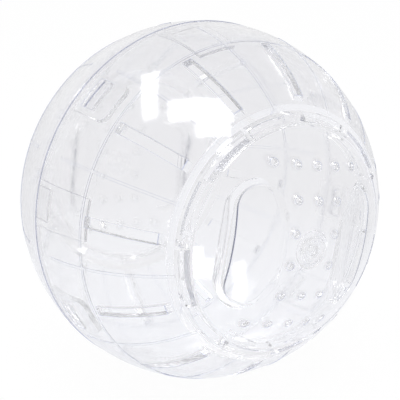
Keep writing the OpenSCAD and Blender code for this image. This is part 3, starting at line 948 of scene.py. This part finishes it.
def make_piece(name, shape, place, plastic, body, node, heights=(), line=None):
    """Piece from a half's places and faces, put at the front or the rear, that stands for a node.

    heights are the functions that give its domes' heights, and line the one for its painted shade lines'
    strength."""
    mesh = mesh_of(name, *shape)
    mesh.materials.append(plastic)
    mesh.shade_smooth()
    mesh.set_sharp_from_angle(angle=SHARP_ANGLE)
    places, normals = true_normals(mesh, heights)
    # Strength of the painted shade lines, as an attribute that the plastic reads
    if line:
        mesh.attributes.new(SHADE_LINE_NAME, "FLOAT", "POINT").data.foreach_set("value", line(places))
    mesh.vertices.foreach_set("co", (place(places) * MM).ravel())
    mesh.update()
    mesh.normals_split_custom_set(place(normals).tolist())
    piece = bpy.data.objects.new(name, mesh)
    bpy.context.collection.objects.link(piece)
    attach(piece, body)
    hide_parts(node)


def front_door_place(places):
    """Front door's places in the ball's frame."""
    return to_front(pattern_turned(places))


def rear_door_place(places):
    """Rear door's places in the ball's frame."""
    return to_rear(pattern_turned(places))


door_shape, door_heights = door(), (outer_height, inner_height)
bush_shape = bush()
make_piece("front_half_shell", half_shell(False), to_front, front_shell_plastic,
           "front_half", "front_shell")
make_piece("rear_half_shell", half_shell(True), to_rear, rear_shell_plastic,
           "rear_half", "rear_shell")
make_piece("front_domed_door", door_shape, front_door_place, door_plastic,
           "front_lid", "front_door", door_heights, door_shade_lines)
make_piece("rear_domed_door", door_shape, rear_door_place, door_plastic,
           "rear_lid", "rear_door", door_heights, door_shade_lines)
make_piece("front_bush", bush_shape, to_front, hub_plastic, "front_bush", "front_hub")
make_piece("rear_bush", bush_shape, to_rear, hub_plastic, "rear_bush", "rear_hub")


# Studio

# Half of the floor's side, in metres
FLOOR_HALF = 6.0
WHITE = (1.0, 1.0, 1.0)
# Colours of the floor, seen through the ball or mirrored in it, and the distances from the ball's centre over
# which it goes from the near one to the far one
NEAR_FLOOR = (0.945, 0.955, 0.99)
FAR_FLOOR = (0.84, 0.84, 0.86)
FLOOR_REACH = (0.08, 0.26)
# The share of the floor's own glow, which leaves a faint shadow
GLOW_SHARE = 0.97
# Colours of the room, from straight down, 0, over the horizon, 0.5, to straight up, 1
ROOM_COLOURS = ((0.0, (0.97, 0.98, 1.0)), (0.47, (0.95, 0.96, 0.99)), (0.50, (0.85, 0.85, 0.865)),
                (0.62, (0.93, 0.93, 0.94)), (0.80, (0.83, 0.83, 0.85)), (1.0, (0.68, 0.68, 0.70)))
# Left, top, right and bottom edge of each softbox's mirror image on the ball, the softboxes' distance from
# the ball in metres, and their radiance
TALL_SOFTBOX_PX = (143, 73, 158, 118)
WIDE_SOFTBOX_PX = (168, 101, 234, 122)
LOW_SOFTBOX_PX = (196, 121, 231, 137)
SOFTBOX_AWAY = 1.0
SOFTBOX_RADIANCE = 6.0
# Light travels a long way inside the clear walls before it comes out
LIGHT_BOUNCES = 64


def seen_rays(tree, kinds):
    """Socket that is 1 for the kinds of rays that are named, and 0 for the others."""
    path = tree.nodes.new("ShaderNodeLightPath")
    seen = path.outputs[kinds[0]]
    for kind in kinds[1:]:
        seen = worked_out(tree, "MAXIMUM", seen, path.outputs[kind])
    return seen


def make_floor():
    """White floor under the ball that keeps a faint shadow. Through the ball it is cooler close by."""
    mesh = bpy.data.meshes.new("floor")
    corners = FLOOR_HALF * np.array([[-1, -1, 0], [1, -1, 0], [1, 1, 0], [-1, 1, 0]], dtype=float)
    corners[:, 2] = -RIM_BEAD_R * MM
    mesh.from_pydata(corners.tolist(), [], [(0, 1, 2, 3)])
    floor = bpy.data.objects.new("floor", mesh)
    bpy.context.collection.objects.link(floor)
    material = bpy.data.materials.new("floor_white")
    material.use_nodes = True
    tree = material.node_tree
    tree.nodes.remove(tree.nodes["Principled BSDF"])
    add = node_maker(tree.nodes)
    reach = length_of(tree, add("ShaderNodeTexCoord").outputs["Object"])
    seen_through = blended(tree, spread(tree, reach, *FLOOR_REACH), NEAR_FLOOR, FAR_FLOOR)
    colour = blended(tree, seen_rays(tree, ["Is Camera Ray"]), seen_through, WHITE)
    paint = add("ShaderNodeBsdfDiffuse", Color=(*WHITE, 1.0))
    glow = add("ShaderNodeEmission", Strength=1.0)
    tree.links.new(colour, glow.inputs["Color"])
    seen = seen_rays(tree, ["Is Camera Ray", "Is Glossy Ray", "Is Transmission Ray"])
    share = worked_out(tree, "MULTIPLY", seen, GLOW_SHARE)
    mix = add("ShaderNodeMixShader")
    tree.links.new(share, mix.inputs[0])
    tree.links.new(paint.outputs[0], mix.inputs[1])
    tree.links.new(glow.outputs[0], mix.inputs[2])
    tree.links.new(mix.outputs[0], tree.nodes["Material Output"].inputs["Surface"])
    mesh.materials.append(material)


def make_room():
    """Room round the ball: white for the camera, and for other rays pale below and greyer above."""
    world = bpy.data.worlds.new("room")
    bpy.context.scene.world = world
    world.use_nodes = True
    tree = world.node_tree
    add = node_maker(tree.nodes)
    split = add("ShaderNodeSeparateXYZ")
    ramp = add("ShaderNodeValToRGB")
    elements = ramp.color_ramp.elements
    for at, _ in ROOM_COLOURS[1:-1]:
        elements.new(at)
    for element, (_, colour) in zip(elements, ROOM_COLOURS):
        element.color = (*colour, 1.0)
    tree.links.new(add("ShaderNodeTexCoord").outputs["Generated"], split.inputs[0])
    tree.links.new(spread(tree, split.outputs["Z"], -1.0, 1.0), ramp.inputs["Fac"])
    colour = blended(tree, seen_rays(tree, ["Is Camera Ray"]), ramp.outputs["Color"], WHITE)
    tree.links.new(colour, tree.nodes["Background"].inputs["Color"])


def make_softbox(name, box_px):
    """Softbox whose mirror image on the ball fills a box of the photograph's pixels.

    Its long sides follow the box's, and its short sides stand square on them."""
    left, top, right, bottom = box_px
    corners = []
    for px, py in ((left, top), (right, top), (right, bottom), (left, bottom)):
        point, direction = mirrored(px, py)
        corners.append(point + SOFTBOX_AWAY * direction)
    middle = sum(corners, Vector()) / len(corners)
    across = ((corners[1] - corners[0]) + (corners[2] - corners[3])) / 2
    down = ((corners[3] - corners[0]) + (corners[2] - corners[1])) / 2
    facing = across.cross(down).normalized()
    if facing.dot(middle) < 0:
        facing = -facing
    if across.length > down.length:
        side = across.normalized()
        up = facing.cross(side).normalized()
    else:
        up = -down.normalized()
        side = up.cross(facing).normalized()
    data = bpy.data.lights.new(name, "AREA")
    data.shape = "RECTANGLE"
    data.size = abs(across.dot(side))
    data.size_y = abs(down.dot(up))
    data.energy = SOFTBOX_RADIANCE * math.pi * data.size * data.size_y
    lamp = bpy.data.objects.new(name, data)
    bpy.context.collection.objects.link(lamp)
    lamp.matrix_world = Matrix.Translation(middle) @ Matrix((side, up, facing)).transposed().to_4x4()
    lamp.visible_camera = False


make_floor()
make_room()
make_softbox("tall_softbox", TALL_SOFTBOX_PX)
make_softbox("wide_softbox", WIDE_SOFTBOX_PX)
make_softbox("low_softbox", LOW_SOFTBOX_PX)

scene = bpy.context.scene
scene.cycles.max_bounces = LIGHT_BOUNCES
scene.cycles.transmission_bounces = LIGHT_BOUNCES
scene.cycles.glossy_bounces = LIGHT_BOUNCES
scene.view_settings.view_transform = "Standard"
